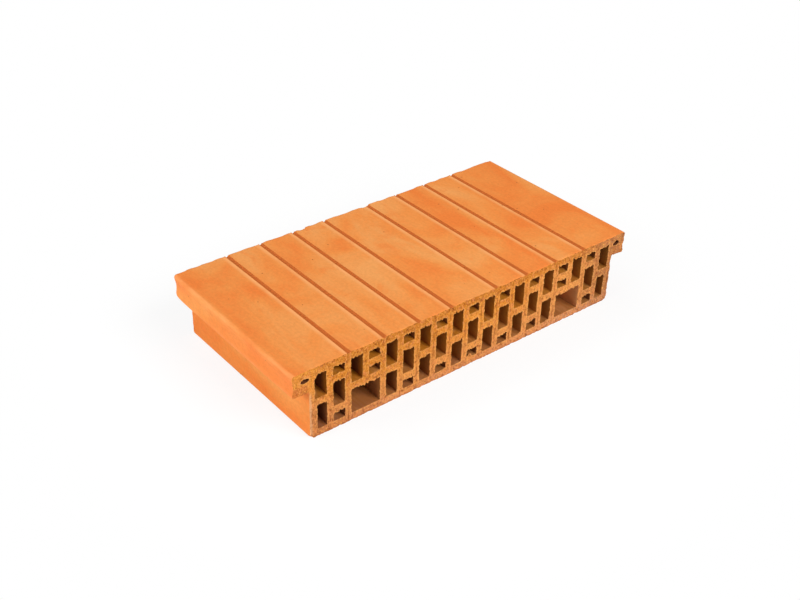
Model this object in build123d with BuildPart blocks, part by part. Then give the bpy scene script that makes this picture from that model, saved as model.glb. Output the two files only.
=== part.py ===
"""Fired-clay floor infill block: one extruded section with rows of hollow cells, cut to length.

The block hangs between two floor beams by the nibs along its long top edges. X runs across the
section from nib to nib, Y along the extrusion and Z up. The origin is in the middle of the base.
"""

import os

from build123d import *

# Length of the cut block along the extrusion, mm like every size here
length = 250.0

# Cells and the clay between them
column_pitch = 24.0  # middle to middle of neighbouring columns of cells
cell_width = 15.5
tall_height = 31.5
web_thickness = 10.0  # level clay between the rows of cells
top_plate = 10.0
base_plate = 10.0
outer_wall = 7.25  # side wall beside the upper end cells
end_cell_inset = 2.75  # how much narrower the lower end cells are, on the wall's side
inner_columns = 5  # columns each side of the middle one, up to the wide cell; odd

# Nibs that rest on the beams
nib_projection = 21.0
nib_depth = 29.0
nib_hollow = 1.2  # how far the middle of the nib's outer face lies in
nib_land = 2.0  # flat left between the hollow and each rounded edge
nib_hole_width = 11.0
nib_hole_height = 5.6
nib_hole_inset = 16.0  # middle of the hole from the nib's outer face
nib_hole_drop = 12.0  # middle of the hole from the top

# Keying grooves along the top
groove_width = 4.5
groove_depth = 2.0
groove_shift = 2.0  # how far each groove lies inside the middle of the web below it

# Rounded long edges
nib_top_radius = 4.0
nib_bottom_radius = 1.5
nib_root_radius = 2.0
base_radius = 4.0

# Heights of the section, from the base up
small_height = (tall_height - web_thickness) / 2
lower_row = base_plate + tall_height / 2
upper_row = base_plate + tall_height + web_thickness + tall_height / 2
height = upper_row + tall_height / 2 + top_plate
middle_row = (lower_row + upper_row) / 2
bottom_small_row = base_plate + small_height / 2
top_small_row = height - top_plate - small_height / 2
second_small_row = upper_row - tall_height / 2 + small_height / 2
nib_underside = height - nib_depth
hollow_low = nib_underside + nib_bottom_radius + nib_land
hollow_high = height - nib_top_radius - nib_land

# Distances from the middle plane out to each side
wide_cell_x = (inner_columns + 1.5) * column_pitch
second_small_x = (inner_columns + 1) * column_pitch
outer_middle_x = (inner_columns + 3) * column_pitch
end_column_x = (inner_columns + 4) * column_pitch
end_cell_x = end_column_x - end_cell_inset / 2
body_half = end_column_x + cell_width / 2 + outer_wall
nib_half = body_half + nib_projection
nib_hole_x = nib_half - nib_hole_inset

# A round-bottomed groove is cut by a circle that stands a little above its floor
groove_radius = (groove_width**2 / 4 + groove_depth**2) / (2 * groove_depth)
groove_z = height - groove_depth + groove_radius
groove_count = (inner_columns + 3) // 2
groove_x = [(2 * i + 1.5) * column_pitch - groove_shift for i in range(groove_count)]


def section_corners(sketch, level):
    """Corners of a sketch of the section at one height, from left to right."""
    at_level = sketch.vertices().filter_by_position(Axis.Y, level - 0.01, level + 0.01)
    return at_level.sort_by(Axis.X)


with BuildPart() as infill_block:
    with BuildSketch(Plane.XZ) as section:
        # Right half of the outline, then its mirror image
        with BuildLine():
            Polyline((0, 0), (body_half, 0), (body_half, nib_underside), (nib_half, nib_underside))
            Line((nib_half, nib_underside), (nib_half, hollow_low))
            ThreePointArc(
                (nib_half, hollow_low),
                (nib_half - nib_hollow, (hollow_low + hollow_high) / 2),
                (nib_half, hollow_high),
            )
            Polyline((nib_half, hollow_high), (nib_half, height), (0, height), (0, 0))
        make_face()
        mirror(about=Plane.YZ)

        # Long edges that the die leaves rounded, picked afresh after each fillet
        corners = section_corners(section, 0)
        fillet([corners[0], corners[-1]], radius=base_radius)
        corners = section_corners(section, height)
        fillet([corners[0], corners[-1]], radius=nib_top_radius)
        corners = section_corners(section, nib_underside)
        fillet([corners[0], corners[-1]], radius=nib_bottom_radius)
        corners = section_corners(section, nib_underside)
        fillet([corners[1], corners[-2]], radius=nib_root_radius)

        # Odd columns hold two tall cells, one over the other
        with Locations((0, upper_row)):
            with GridLocations(2 * column_pitch, 0, inner_columns + 5, 1):
                Rectangle(cell_width, tall_height, mode=Mode.SUBTRACT)
        with Locations((0, lower_row)):
            with GridLocations(2 * column_pitch, 0, inner_columns + 1, 1):
                Rectangle(cell_width, tall_height, mode=Mode.SUBTRACT)

        # Even columns hold a tall cell between two small ones
        with Locations((0, top_small_row)):
            with GridLocations(2 * column_pitch, 0, inner_columns + 4, 1):
                Rectangle(cell_width, small_height, mode=Mode.SUBTRACT)
        with Locations((0, middle_row)):
            with GridLocations(2 * column_pitch, 0, inner_columns, 1):
                Rectangle(cell_width, tall_height, mode=Mode.SUBTRACT)
        with Locations((0, bottom_small_row)):
            with GridLocations(2 * column_pitch, 0, inner_columns, 1):
                Rectangle(cell_width, small_height, mode=Mode.SUBTRACT)

        # Outer part of each half: the wide cell with small cells over it, and the end columns
        for side in (-1, 1):
            with Locations((side * wide_cell_x, lower_row)):
                Rectangle(column_pitch + cell_width, tall_height, mode=Mode.SUBTRACT)
            with Locations((side * second_small_x, second_small_row)):
                Rectangle(cell_width, small_height, mode=Mode.SUBTRACT)
            with Locations((side * outer_middle_x, middle_row)):
                Rectangle(cell_width, tall_height, mode=Mode.SUBTRACT)
            with Locations((side * outer_middle_x, bottom_small_row)):
                Rectangle(cell_width, small_height, mode=Mode.SUBTRACT)
            with Locations((side * end_cell_x, lower_row)):
                Rectangle(cell_width - end_cell_inset, tall_height, mode=Mode.SUBTRACT)
            with Locations((side * nib_hole_x, height - nib_hole_drop)):
                Ellipse(nib_hole_width / 2, nib_hole_height / 2, mode=Mode.SUBTRACT)
            with Locations([(side * x, groove_z) for x in groove_x]):
                Circle(groove_radius, mode=Mode.SUBTRACT)

    extrude(amount=length / 2, both=True)

infill_block.part.label = "infill_block"

os.makedirs("parts", exist_ok=True)
export_step(infill_block.part, "parts/infill_block.step")
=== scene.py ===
"""Dresses the fired-clay floor infill block: skin, torn cut ends, ragged cell mouths, studio."""

import logging
import math
from dataclasses import dataclass, field
from enum import Enum
from typing import Iterable, Sequence

import bpy
import numpy as np
from mathutils import Matrix, Vector
from mathutils.geometry import delaunay_2d_cdt
from mathutils.kdtree import KDTree


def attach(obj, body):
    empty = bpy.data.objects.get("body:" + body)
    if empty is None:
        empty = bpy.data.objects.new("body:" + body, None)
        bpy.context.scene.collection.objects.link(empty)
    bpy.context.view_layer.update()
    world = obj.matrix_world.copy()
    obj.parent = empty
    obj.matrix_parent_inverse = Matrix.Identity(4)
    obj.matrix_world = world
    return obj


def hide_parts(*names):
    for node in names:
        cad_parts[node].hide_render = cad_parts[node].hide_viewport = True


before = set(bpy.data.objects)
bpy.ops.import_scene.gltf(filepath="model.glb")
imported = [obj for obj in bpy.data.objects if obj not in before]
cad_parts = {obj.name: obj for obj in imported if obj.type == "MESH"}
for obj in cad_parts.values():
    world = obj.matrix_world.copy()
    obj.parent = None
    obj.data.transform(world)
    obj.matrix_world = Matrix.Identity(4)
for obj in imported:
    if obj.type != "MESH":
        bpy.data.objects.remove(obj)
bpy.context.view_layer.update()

log = logging.getLogger("infill_block")

MM = 0.001
NODE = "infill_block"
CLAY_SPECULAR = 0.25
WHITE = (1.0, 1.0, 1.0)

# What each point of the mesh tells the finishes, from 0 to 1 but for the cells' painted shade, which goes to
# 2. Groove, pit and roof place painted shade too, arris a painted highlight with wear
MARKS = ("rim", "groove", "arris", "pit", "roof", "brown")

Colour = tuple[float, float, float]
Place = tuple[float, float, float]
Spot = tuple[float, float]
Points = np.ndarray


class End(Enum):
    """The two wire-cut ends of the block, by the side of Y they face."""

    FRONT = -1
    BACK = 1


class CellKind(Enum):
    """The kinds of through cell in the section."""

    TALL = "tall"
    SMALL = "small"
    WIDE = "wide"
    NIB = "nib hole"


class Surface(Enum):
    """The three finishes of the fired clay, by material index."""

    SKIN = 0
    CUT = 1
    BORE = 2


@dataclass
class LatticeNoise:
    """Smooth value noise on a lattice, the same on every run.

    A plain number for one coordinate picks a slice of the noise, so that patterns differ.
    """

    seed: int

    def _corner(self, ix: Points, iy: Points, iz: Points) -> Points:
        """Gives each lattice corner its value, by hashing its three whole numbers.

        Args:
            ix: Corner numbers along the first axis.
            iy: Corner numbers along the second axis.
            iz: Corner numbers along the third axis.

        Returns:
            Values from -1 to 1.
        """
        mask = np.int64(0x7FFFFFFF)
        mixed = (ix * 73856093) ^ (iy * 19349663) ^ (iz * 83492791) ^ (self.seed * 2654435)
        mixed = (mixed & mask) * 1103515245 + 12345
        mixed = ((mixed ^ (mixed >> 15)) & mask) * 1664525 + 1013904223
        mixed = (mixed ^ (mixed >> 13)) & 0xFFFFFF
        return mixed.astype(float) / 0x7FFFFF - 1.0

    def at(self, x: Points, y: Points, z: Points) -> Points:
        """Reads the noise at points given in units of its own grain.

        Args:
            x: First coordinates.
            y: Second coordinates.
            z: Third coordinates.

        Returns:
            Values from about -1 to 1.
        """
        shape = np.broadcast(x, y, z).shape
        parts = [np.broadcast_to(np.asarray(v, float), shape) for v in (x, y, z)]
        base = [np.floor(v).astype(np.int64) for v in parts]
        part = [v - b for v, b in zip(parts, base)]
        ease = [t * t * t * (t * (t * 6 - 15) + 10) for t in part]
        total = np.zeros(shape)
        for corner in range(8):
            step = [(corner >> k) & 1 for k in range(3)]
            weight = np.ones(shape)
            for k in range(3):
                weight = weight * (ease[k] if step[k] else 1 - ease[k])
            total += weight * self._corner(*(base[k] + step[k] for k in range(3)))
        return total

    def layered(self, x: Points, y: Points, z: Points, layers: int = 2) -> Points:
        """Adds finer and weaker copies of the noise.

        Args:
            x: First coordinates.
            y: Second coordinates.
            z: Third coordinates.
            layers: How many copies.

        Returns:
            Values from about -1 to 1.
        """
        total, weight, scale = 0.0, 1.0, 1.0
        for layer in range(layers):
            shift = 17.3 * layer
            total = total + weight * self.at(x * scale + shift, y * scale - shift, z * scale + shift)
            weight *= 0.5
            scale *= 2.03
        return total / (2 - 0.5 ** (layers - 1))


@dataclass
class Outline:
    """A closed line in the section plane, gathered piece by piece, mm."""

    points: list[Spot] = field(default_factory=list)

    def line(self, start: Spot, end: Spot, step: float) -> None:
        """Adds a straight piece without its end point.

        Args:
            start: First point.
            end: Where the next piece starts.
            step: Largest distance between points.
        """
        count = max(1, math.ceil(math.dist(start, end) / step))
        for i in range(count):
            t = i / count
            self.points.append((start[0] + (end[0] - start[0]) * t, start[1] + (end[1] - start[1]) * t))

    def arc(self, centre: Spot, radius: float, sweep: tuple[float, float], step: float) -> None:
        """Adds an arc without its end point.

        Args:
            centre: Middle of the arc.
            radius: Its radius.
            sweep: First and last angle in degrees.
            step: Largest distance between points.
        """
        first, last = (math.radians(a) for a in sweep)
        count = max(2, math.ceil(abs(last - first) * radius / step))
        for i in range(count):
            angle = first + (last - first) * i / count
            self.points.append((centre[0] + radius * math.cos(angle), centre[1] + radius * math.sin(angle)))

    def rounded_box(self, centre: Spot, size: tuple[float, float], radius: float, step: float) -> None:
        """Adds a whole rectangle with rounded corners, anticlockwise.

        Args:
            centre: Middle of the rectangle.
            size: Its width and height.
            radius: Corner radius.
            step: Largest distance between points on its sides.
        """
        (cx, cz), half_w, half_h = centre, size[0] / 2, size[1] / 2
        corners = [(1, -1, -90), (1, 1, 0), (-1, 1, 90), (-1, -1, 180)]
        for k, (sx, sz, angle) in enumerate(corners):
            mid = (cx + sx * (half_w - radius), cz + sz * (half_h - radius))
            self.arc(mid, radius, (angle, angle + 90), radius * 0.6)
            nx, nz, _ = corners[(k + 1) % 4]
            after = (cx + nx * (half_w - radius), cz + nz * (half_h - radius))
            turn = math.radians(angle + 90)
            out = (radius * math.cos(turn), radius * math.sin(turn))
            self.line((mid[0] + out[0], mid[1] + out[1]), (after[0] + out[0], after[1] + out[1]), step)

    def ellipse(self, centre: Spot, size: tuple[float, float], count: int = 24) -> None:
        """Adds a whole ellipse, anticlockwise.

        Args:
            centre: Middle of the ellipse.
            size: Its width and height.
            count: Number of points.
        """
        for i in range(count):
            angle = 2 * math.pi * i / count
            x = centre[0] + size[0] / 2 * math.cos(angle)
            self.points.append((x, centre[1] + size[1] / 2 * math.sin(angle)))


@dataclass(frozen=True)
class Cell:
    """One through cell of the section: its kind, middle and size, mm."""

    kind: CellKind
    x: float
    z: float
    width: float
    height: float

    def outline(self, corner: float, step: float) -> Outline:
        """Draws the cell's edge.

        Args:
            corner: Corner radius.
            step: Distance between points.

        Returns:
            The closed line, anticlockwise.
        """
        drawn = Outline()
        if self.kind is CellKind.NIB:
            drawn.ellipse((self.x, self.z), (self.width, self.height))
        else:
            drawn.rounded_box((self.x, self.z), (self.width, self.height), corner, step)
        return drawn


@dataclass(frozen=True)
class Section:
    """The block's section, with the sizes of the solid, mm."""

    length: float = 250.0
    pitch: float = 24.0
    cell_width: float = 15.5
    tall: float = 31.5
    web: float = 10.0
    plate: float = 10.0
    outer_wall: float = 7.25
    end_inset: float = 2.75
    inner_columns: int = 5
    nib_projection: float = 21.0
    nib_depth: float = 29.0
    nib_hollow: float = 1.2
    nib_land: float = 2.0
    nib_hole: tuple[float, float] = (11.0, 5.6)
    nib_hole_inset: float = 16.0
    nib_hole_drop: float = 12.0
    groove_width: float = 4.5
    groove_depth: float = 2.0
    groove_shift: float = 2.0
    nib_top_radius: float = 4.0
    nib_bottom_radius: float = 1.5
    nib_root_radius: float = 2.0
    base_radius: float = 4.0

    @property
    def height(self) -> float:
        """Height from base to top."""
        return 2 * self.plate + self.web + 2 * self.tall

    @property
    def body_half(self) -> float:
        """Half the width under the nibs."""
        return (self.inner_columns + 4) * self.pitch + self.cell_width / 2 + self.outer_wall

    @property
    def nib_half(self) -> float:
        """Half the width over the nibs."""
        return self.body_half + self.nib_projection

    @property
    def underside(self) -> float:
        """Height of the nibs' undersides."""
        return self.height - self.nib_depth

    def grooves(self) -> list[float]:
        """Returns the distances of the keying grooves from the middle."""
        count = (self.inner_columns + 3) // 2
        return [(2 * i + 1.5) * self.pitch - self.groove_shift for i in range(count)]

    def cells(self) -> list[Cell]:
        """Lists every through cell, column by column from left to right.

        Returns:
            The cells, with the holes in the nibs last.
        """
        small = (self.tall - self.web) / 2
        lower = self.plate + self.tall / 2
        upper = self.height - self.plate - self.tall / 2
        middle = (lower + upper) / 2
        low_small, high_small = self.plate + small / 2, self.height - self.plate - small / 2
        second_small = upper - self.tall / 2 + small / 2
        last = self.inner_columns + 4
        found = []

        def add(kind: CellKind, x: float, z: float, width: float = self.cell_width) -> None:
            """Adds a cell as tall as its kind."""
            found.append(Cell(kind, x, z, width, small if kind is CellKind.SMALL else self.tall))

        for column in range(-last, last + 1):
            side, x = abs(column), column * self.pitch
            out = math.copysign(1, column)
            if side % 2:
                add(CellKind.TALL, x, upper)
                if side <= self.inner_columns:
                    add(CellKind.TALL, x, lower)
                if side == last:
                    add(CellKind.TALL, x - out * self.end_inset / 2, lower, self.cell_width - self.end_inset)
                continue
            add(CellKind.SMALL, x, high_small)
            if side == self.inner_columns + 1:
                add(CellKind.SMALL, x, second_small)
                add(CellKind.WIDE, x + out * self.pitch / 2, lower, self.pitch + self.cell_width)
            else:
                add(CellKind.TALL, x, middle)
                add(CellKind.SMALL, x, low_small)
        for out in (-1, 1):
            x = out * (self.nib_half - self.nib_hole_inset)
            found.append(Cell(CellKind.NIB, x, self.height - self.nib_hole_drop, *self.nib_hole))
        return found

    def outline(self, step: float) -> Outline:
        """Draws the outer edge of the section, with its grooves.

        Args:
            step: Distance between points on the flat sides.

        Returns:
            The closed line, anticlockwise from the middle of the base.
        """
        half = Outline()
        body, nib, top, under = self.body_half, self.nib_half, self.height, self.underside
        base, root = self.base_radius, self.nib_root_radius
        low, high = self.nib_bottom_radius, self.nib_top_radius
        half.line((0, 0), (body - base, 0), step * 1.4)
        half.arc((body - base, base), base, (-90, 0), 0.8)
        half.line((body, base), (body, under - root), step * 1.2)
        half.arc((body + root, under - root), root, (180, 90), 0.7)
        half.line((body + root, under), (nib - low, under), step)
        half.arc((nib - low, under + low), low, (-90, 0), 0.5)
        hollow_low, hollow_high = under + low + self.nib_land, top - high - self.nib_land
        half.line((nib, under + low), (nib, hollow_low), step)
        chord = (hollow_high - hollow_low) / 2
        radius = (chord**2 + self.nib_hollow**2) / (2 * self.nib_hollow)
        swing = math.degrees(math.asin(chord / radius))
        middle = (nib - self.nib_hollow + radius, (hollow_low + hollow_high) / 2)
        half.arc(middle, radius, (180 + swing, 180 - swing), step)
        half.line((nib, hollow_high), (nib, top - high), step)
        half.arc((nib - high, top - high), high, (0, 90), 0.6)
        reach = nib - high
        radius = (self.groove_width**2 / 4 + self.groove_depth**2) / (2 * self.groove_depth)
        groove_z = top - self.groove_depth + radius
        lift = math.degrees(math.asin((groove_z - top) / radius))
        margin, fine = 1.2, 0.4
        for x in reversed(self.grooves()):
            edge = x + self.groove_width / 2
            half.line((reach, top), (edge + margin, top), step)
            half.line((edge + margin, top), (edge, top), fine)
            half.arc((x, groove_z), radius, (-lift, -180 + lift), 0.6)
            reach = x - self.groove_width / 2
            half.line((reach, top), (reach - margin, top), fine)
            reach -= margin
        half.line((reach, top), (0, top), step)
        right = half.points
        left = [(-x, z) for x, z in reversed(right[1:])]
        return Outline(right + [(0.0, top)] + left)


@dataclass(frozen=True)
class Smear:
    """Clay that the cutting wire dragged at a cell's mouth, mm.

    reach is how far round x, z it is felt, dx and dz how far the clay moved, depth how far in.
    """

    x: float
    z: float
    reach: float
    dx: float
    dz: float
    depth: float = 3.0


@dataclass(frozen=True)
class Chip:
    """A bite out of an edge, as a ball with a rough surface, mm."""

    x: float
    y: float
    z: float
    radius: float


@dataclass(frozen=True)
class Scar:
    """A torn patch of a cut end: middle, half sizes and depth, mm."""

    x: float
    z: float
    half_x: float
    half_z: float
    depth: float


@dataclass
class CutEnd:
    """One wire-cut end of the block: how its surface is torn and its cell mouths are dragged."""

    end: End
    section: Section
    smears: Sequence[Smear] = ()
    scars: Sequence[Scar] = ()
    ground: float = 0.3

    def __post_init__(self) -> None:
        """Sets up this end's own noise."""
        self.noise = LatticeNoise(31 if self.end is End.FRONT else 47)

    def drag(self, points: Points, depth: float) -> Points:
        """Moves points of the section as the smears at this end do.

        Args:
            points: Places in the section plane, N by 2.
            depth: How far in from this end they are.

        Returns:
            The moved places.
        """
        moved = points.copy()
        for smear in self.smears:
            gap = (points - (smear.x, smear.z)) / smear.reach
            felt = np.exp(-(gap**2).sum(axis=1) - depth / smear.depth)
            moved += felt[:, None] * (smear.dx, smear.dz)
        return moved

    def burr(self, points: Points, normals: Points) -> Points:
        """Works out how far the mouth's edge stands into each cell.

        Args:
            points: Edge points of the cells.
            normals: Directions into the cell at those points.

        Returns:
            Distances into the cell, mm.
        """
        x, z = points.T
        n = self.noise
        roof = np.clip(-normals[:, 1], 0, 1) ** 2
        floor = np.clip(normals[:, 1], 0, 1) ** 2
        wall = np.abs(normals[:, 0]) ** 2
        lobes = 0.75 - np.abs(n.at(x / 2.1, 3.1, z / 11.0)) * 2.6
        swell = n.at(x / 7.0, 7.7, z / 9.0)
        fine = n.at(x / 1.2, z / 1.2, 2.2)
        hung = -0.2 + 1.05 * lobes + 0.85 * swell + 0.5 * fine
        side = 0.45 * n.at(x / 9.0, z / 2.4, 5.1) + 0.45 * fine - 0.1
        lip = 0.35 * n.at(x / 3.0, z / 4.0, 9.4) + 0.25 * fine - 0.1
        return roof * np.clip(hung, -1.7, 2.1) + wall * side + floor * lip

    def relief(self, points: Points, rim_gap: Points | float) -> tuple[Points, Points]:
        """Works out how deep the torn surface lies at each point.

        Args:
            points: Places in the section plane.
            rim_gap: Distance of each to the nearest cell mouth.

        Returns:
            Depths from the outermost plane, mm, none under 0, and how far each point is in a pit, 0 to 1.
        """
        x, z = points.T
        n = self.noise
        swell = n.layered(x / 16.0, 1.5, z / 24.0)
        lumps = n.layered(x / 2.9, 4.5, z / 4.2)
        crumbs = n.at(x / 1.3, 8.5, z / 1.5)
        depth = self.ground + 0.16 * swell + 0.2 * lumps + 0.2 * crumbs - 0.15 * np.exp(-rim_gap / 0.9)
        broken = np.clip(n.at(x / 9.0, 21.0, z / 6.0) + 0.35, 0, 1)
        torn = broken * np.exp(-((self.seam_gap(x, z) / 0.8) ** 2))
        pits = np.clip(n.at(x / 1.9, 15.0, z / 2.2) - 0.55, 0, 0.35) / 0.35
        depth = depth + 0.55 * torn + 0.9 * pits
        for scar in self.scars:
            gap = ((x - scar.x) / scar.half_x) ** 2 + ((z - scar.z) / scar.half_z) ** 2
            depth = depth + scar.depth * np.exp(-(gap**2)) * (1 + 0.6 * lumps)
        hollow = np.clip(0.8 * torn + pits + 0.9 * np.clip(crumbs - 0.45, 0, 1), 0, 1)
        return np.maximum(depth, 0.0), hollow

    def seam_gap(self, x: Points, z: Points) -> Points:
        """Measures how far points lie from the wandering seam in the middle of their upright web, mm."""
        wander = 0.9 * self.noise.at(3.3, 12.0, z / 14.0)
        return np.abs(np.mod(x + wander, self.section.pitch) - self.section.pitch / 2)


@dataclass
class FiredBlock:
    """The whole block as one closed skin, built round the section's outline and cells, mm."""

    section: Section
    ends: dict[End, CutEnd]
    chips: Sequence[Chip] = ()
    outline_step: float = 1.5
    cell_step: float = 1.05
    face_step: float = 1.42
    corner: float = 1.1
    far_from_rim: float = 3.0
    back_tear: float = 0.2  # how torn the outline is at the back, against the front
    jitter: float = 0.42  # how far points of a cut end stray from their grid, in steps
    edge_gap: float = 0.62  # least distance of those points from an edge
    sharp_angle: float = 38.0  # degrees between faces, above which their edge looks sharp

    # Distances from either end at which the outer skin and a cell's wall have a ring of points
    skin_depths: tuple[float, ...] = (0, 0.35, 0.9, 1.8, 3.2, 5.5, 10, 18, 32, 52, 76, 104)
    bore_depths: tuple[float, ...] = (0, 0.45, 1.2, 2.6, 6.0, 18, 60)

    def __post_init__(self) -> None:
        """Sets up the noise that the outer surfaces share, and an empty mesh."""
        self.noise = LatticeNoise(5)
        self.vertices: list[Points] = []
        self.faces: list[tuple[int, ...]] = []
        self.kinds: list[int] = []
        self.marks: dict[str, list[Points]] = {name: [] for name in MARKS}

    @staticmethod
    def normals(points: Points, inward: bool) -> Points:
        """Finds the directions out of the clay along a closed line.

        Args:
            points: The line, anticlockwise, N by 2.
            inward: True for a cell, where out of the clay is into the cell.

        Returns:
            Unit directions, N by 2.
        """
        along = np.roll(points, -1, axis=0) - np.roll(points, 1, axis=0)
        out = np.stack([along[:, 1], -along[:, 0]], axis=1)
        out /= np.linalg.norm(out, axis=1)[:, None]
        return -out if inward else out

    @staticmethod
    def in_clay(spots: Points, loops: Iterable[Points]) -> Points:
        """Tells which spots lie in the clay, by counting the edges to one side of them.

        Args:
            spots: Places in the section plane.
            loops: Every closed edge, outline and cells.

        Returns:
            True for each spot inside the outline and outside every cell.
        """
        inside = np.zeros(len(spots), bool)
        x, z = spots.T
        for loop in loops:
            low, high = loop.min(axis=0), loop.max(axis=0)
            near = np.flatnonzero((z >= low[1]) & (z <= high[1]) & (x <= high[0]))
            if not len(near):
                continue
            a, b = loop, np.roll(loop, -1, axis=0)
            sx, sz = x[near][:, None], z[near][:, None]
            straddles = (a[:, 1] > sz) != (b[:, 1] > sz)
            rise = np.where(a[:, 1] == b[:, 1], 1e-12, b[:, 1] - a[:, 1])
            cross = a[:, 0] + (sz - a[:, 1]) * (b[:, 0] - a[:, 0]) / rise
            inside[near] ^= (np.count_nonzero(straddles & (sx < cross), axis=1) % 2).astype(bool)
        return inside

    def skin_inset(self, points: Points, normals: Points, depth: float, end: End) -> Points:
        """Works out how far the worn edge of the outer skin lies in from the true section.

        Args:
            points: Outline points, mm.
            normals: Directions out of the clay.
            depth: How far in from the end.
            end: Which end that is.

        Returns:
            Distances into the clay, mm, none under 0.
        """
        x, z = points.T
        n = self.ends[end].noise
        top = np.clip(normals[:, 1], 0, 1) ** 4
        under = np.clip(-normals[:, 1], 0, 1) ** 2
        right = np.abs(normals[:, 0]) ** 2 * np.clip((np.abs(x) - 150) / 60, 0, 1) * np.clip(x, 0, 1)
        fine = 0.4 if end is End.FRONT else 0.05
        wear = (0.2 + 0.2 * n.at(x / 2.6, z / 2.6, 30.0)) * (1 - top * (0.45 - fine) * 2)
        wear += top * (0.55 + 0.6 * n.at(x / 10.0, 2.0, 31.0) + fine * n.at(x / 3.0, 2.0, 32.0))
        wear += right * (0.5 + 1.1 * n.at(3.0, z / 3.4, 36.0) + 0.5 * n.at(4.0, z / 9.0, 37.0))
        wear += under * (0.65 * n.at(x / 2.1, z / 5.0, 38.0) + 0.3 * n.at(x / 12.0, z / 5.0, 39.0) - 0.05)
        reach = 0.8 + 0.3 * n.at(x / 6.0, z / 6.0, 35.0) + 1.6 * top + 1.2 * right + 0.7 * under
        return np.clip(1 - depth / reach, 0, 1) ** 2 * np.clip(wear, 0.05, 1.8)

    def wave(self, places: Points) -> Points:
        """Works out the shallow unevenness of the long faces.

        Args:
            places: Points of the skin, N by 3.

        Returns:
            Distances into the clay, mm, none under 0.
        """
        x, y, z = places.T
        broad = self.noise.layered(x / 60.0, y / 110.0, z / 40.0)
        drawn = self.noise.at(x / 7.0, y / 160.0, z / 5.0)
        return np.clip(0.1 + 0.12 * broad + 0.05 * drawn, 0, None)

    def groove_share(self, loop: Points, depth: float) -> Points:
        """Tells how far each outline point is in a keying groove, which flares at the ends.

        Args:
            loop: The outline.
            depth: How far in from the end.

        Returns:
            Values from 0 to 1.
        """
        section = self.section
        beside = np.abs(np.abs(loop[:, :1]) - section.grooves()).min(axis=1) - section.groove_width / 2
        level = section.height - loop[:, 1] < section.groove_depth + 0.1
        return np.clip(1 - beside / (0.75 + 1.5 * np.exp(-depth / 4)), 0, 1) * level

    def skin_ring(self, loop: Points, out: Points, end: End, depth: float) -> Points:
        """Draws the outer skin's ring at one depth, its grooves half filled at the very end.

        Args:
            loop: The outline.
            out: Directions out of the clay.
            end: The nearer end.
            depth: How far in from it.

        Returns:
            Places in the section plane.
        """
        ring = loop - out * self.skin_inset(loop, out, depth, end)[:, None]
        uneven = 0.5 + 0.6 * self.ends[end].noise.at(loop[:, 0] / 9.0, 6.0, 33.0)
        filled = self.groove_share(loop, depth) * np.exp(-depth / 1.6) * uneven
        drop = self.section.height - ring[:, 1]
        ring[:, 1] += np.clip(filled, 0, 1) * np.clip(drop - 0.5, 0, 1.4)
        return ring

    def bore_ring(self, loop: Points, out: Points, end: End, depth: float, cell: Cell) -> Points:
        """Draws a cell's ring at one depth, ragged at its mouth and a little uneven inside.

        Args:
            loop: The cell's edge.
            out: Directions into the cell.
            end: The nearer end.
            depth: How far in from it.
            cell: The cell.

        Returns:
            Places in the section plane.
        """
        ragged = self.ends[end].burr(loop, out) * np.exp(-((depth / 1.5) ** 1.3))
        ragged = ragged * min(1.0, (cell.height / 10) ** 2)
        sag = 0.22 * self.noise.at(loop[:, 0] / 8.0, depth * end.value / 30.0, loop[:, 1] / 8.0)
        return loop + out * (ragged + sag * min(depth / 4, 1.0))[:, None]

    def arris(self, loop: Points, out: Points) -> Points:
        """Marks the rounded long edges at the block's sides, by how fast the outline turns."""
        bend = np.abs(np.roll(out, -1, axis=0) - np.roll(out, 1, axis=0)).sum(axis=1)
        return np.clip(bend * 1.6, 0, 1) * (np.abs(loop[:, 0]) > self.section.body_half - 6)

    def note(self, count: int, **marks: Points) -> None:
        """Keeps the marks of some new points, 0 where none is given."""
        for name, kept in self.marks.items():
            kept.append(marks.get(name, np.zeros(count)))

    def add_wall(self, loop: Points, cell: Cell | None) -> tuple[Points, Points]:
        """Builds the wall along one closed edge from the front end to the back.

        Args:
            loop: The edge, anticlockwise, N by 2.
            cell: The cell that it bounds, or None for the block's outline.

        Returns:
            The numbers of the wall's first and last ring of points.
        """
        count, out = len(loop), self.normals(loop, cell is not None)
        depths = self.skin_depths if cell is None else self.bore_depths
        stations = [(End.FRONT, d) for d in depths] + [(End.BACK, d) for d in reversed(depths)]
        start = sum(len(v) for v in self.vertices)
        for end, depth in stations:
            cut, near = self.ends[end], np.exp(-depth / 1.2)
            if cell is None:
                ring = self.skin_ring(loop, out, end, depth)
            else:
                ring = self.bore_ring(loop, out, end, depth, cell)
            ring = cut.drag(ring, depth)
            # hollow becomes the pit mark, which places painted shade in the torn hollows
            torn, hollow = cut.relief(ring, self.far_from_rim if cell is None else 0.0)
            if cell is None and end is End.BACK:
                torn = torn * self.back_tear
            y = end.value * (self.section.length / 2 - depth - torn * np.exp(-depth / 3.5))
            place = np.stack([ring[:, 0], y, ring[:, 1]], axis=1)
            if cell is None:
                place[:, [0, 2]] -= out * (self.wave(place) * min(depth / 3, 1.0))[:, None]
                # The groove mark places the grooves' painted shade, weaker at the very ends
                groove = self.groove_share(loop, depth) * (1 - 0.35 * near)
                # The arris mark places a painted highlight with wear on the rounded edges
                self.note(count, groove=groove, arris=self.arris(loop, out), pit=hollow * near)
            else:
                rim = np.full(count, near)
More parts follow.
